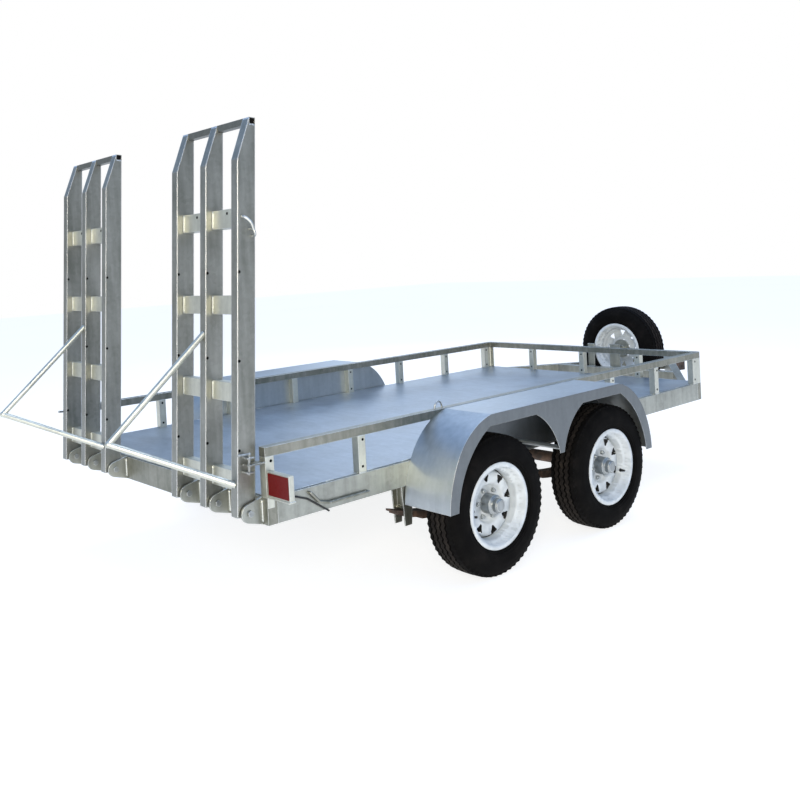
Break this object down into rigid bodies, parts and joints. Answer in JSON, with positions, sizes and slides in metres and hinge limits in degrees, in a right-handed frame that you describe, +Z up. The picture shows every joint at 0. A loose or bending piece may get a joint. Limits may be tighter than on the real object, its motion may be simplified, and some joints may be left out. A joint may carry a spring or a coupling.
{
  "type": "plant trailer",
  "caption": "Flat tandem-axle plant trailer with low side rails, mudguards, an upright spare wheel and rear loading ramps that stand up, latch and hinge down onto prop legs.",
  "frame": {"origin": "middle of the overall length and width, at ground level under the tyres", "axes": "+X to the right side of the trailer, +Y forward to the drawbar, +Z up"},
  "size_m": [2.39, 5.1844, 2.0365],
  "materials": {
    "galvanised": "galvanised, satin",
    "dark_steel": "satin",
    "white_wheel": "gloss",
    "tyre": "matt",
    "cable_black": "matt",
    "lamp_red": "gloss"
  },
  "bodies": {
    "chassis": {"side_rail_right": "galvanised", "side_rail_left": "galvanised", "rear_crossmember": "galvanised", "front_crossmember": "galvanised", "cross_bearers": "galvanised", "deck_plate": "galvanised", "top_rail": "galvanised", "rail_posts": "galvanised", "mudguard_right": "galvanised", "mudguard_left": "galvanised", "hinge_lugs": "galvanised", "hinge_pins": "dark_steel", "latch_forks": "galvanised", "rope_rails": "galvanised", "drawbar_right": "galvanised", "drawbar_left": "galvanised", "coupling": "dark_steel", "spare_bracket": "galvanised", "spare_rim": "white_wheel", "spare_tyre": "tyre", "axles": "dark_steel", "leaf_springs": "dark_steel", "spring_hangers": "dark_steel", "spring_rockers": "dark_steel", "lamp_housings": "galvanised", "lamp_lenses": "lamp_red", "lamp_cables": "cable_black"},
    "ramp_right": {"ramp_right_stringers": "galvanised", "ramp_right_rungs": "galvanised", "ramp_right_leg": "galvanised", "ramp_right_latch_guide": "galvanised"},
    "latch_pin_right": {"latch_pin_right": "dark_steel"},
    "ramp_left": {"ramp_left_stringers": "galvanised", "ramp_left_rungs": "galvanised", "ramp_left_leg": "galvanised", "ramp_left_latch_guide": "galvanised"},
    "latch_pin_left": {"latch_pin_left": "dark_steel"},
    "rear_right_wheel": {"rear_right_tyre": "tyre", "rear_right_rim": "white_wheel", "rear_right_hub": "galvanised"},
    "front_right_wheel": {"front_right_tyre": "tyre", "front_right_rim": "white_wheel", "front_right_hub": "galvanised"},
    "rear_left_wheel": {"rear_left_tyre": "tyre", "rear_left_rim": "white_wheel", "rear_left_hub": "galvanised"},
    "front_left_wheel": {"front_left_tyre": "tyre", "front_left_rim": "white_wheel", "front_left_hub": "galvanised"}
  },
  "joints": [
    {"name": "ramp_right_hinge", "type": "hinge", "parent": "chassis", "child": "ramp_right", "pos_m": [0.62, -2.17974, 0.497], "axis": [1, 0, 0], "range_deg": [0, 111]},
    {"name": "latch_pin_right_lift", "type": "slide", "parent": "ramp_right", "child": "latch_pin_right", "axis": [0, 0.0645, 0.9979], "range_m": [0, 0.055]},
    {"name": "ramp_left_hinge", "type": "hinge", "parent": "chassis", "child": "ramp_left", "pos_m": [-0.62, -2.17974, 0.497], "axis": [1, 0, 0], "range_deg": [0, 111]},
    {"name": "latch_pin_left_lift", "type": "slide", "parent": "ramp_left", "child": "latch_pin_left", "axis": [0, 0.0645, 0.9979], "range_m": [0, 0.055]},
    {"name": "rear_right_wheel_spin", "type": "hinge", "parent": "chassis", "child": "rear_right_wheel", "pos_m": [1.086, -1.06474, 0.32], "axis": [1, 0, 0], "continuous": true},
    {"name": "front_right_wheel_spin", "type": "hinge", "parent": "chassis", "child": "front_right_wheel", "pos_m": [1.086, -0.18874, 0.32], "axis": [1, 0, 0], "continuous": true},
    {"name": "rear_left_wheel_spin", "type": "hinge", "parent": "chassis", "child": "rear_left_wheel", "pos_m": [-1.086, -1.06474, 0.32], "axis": [1, 0, 0], "continuous": true},
    {"name": "front_left_wheel_spin", "type": "hinge", "parent": "chassis", "child": "front_left_wheel", "pos_m": [-1.086, -0.18874, 0.32], "axis": [1, 0, 0], "continuous": true}
  ]
}
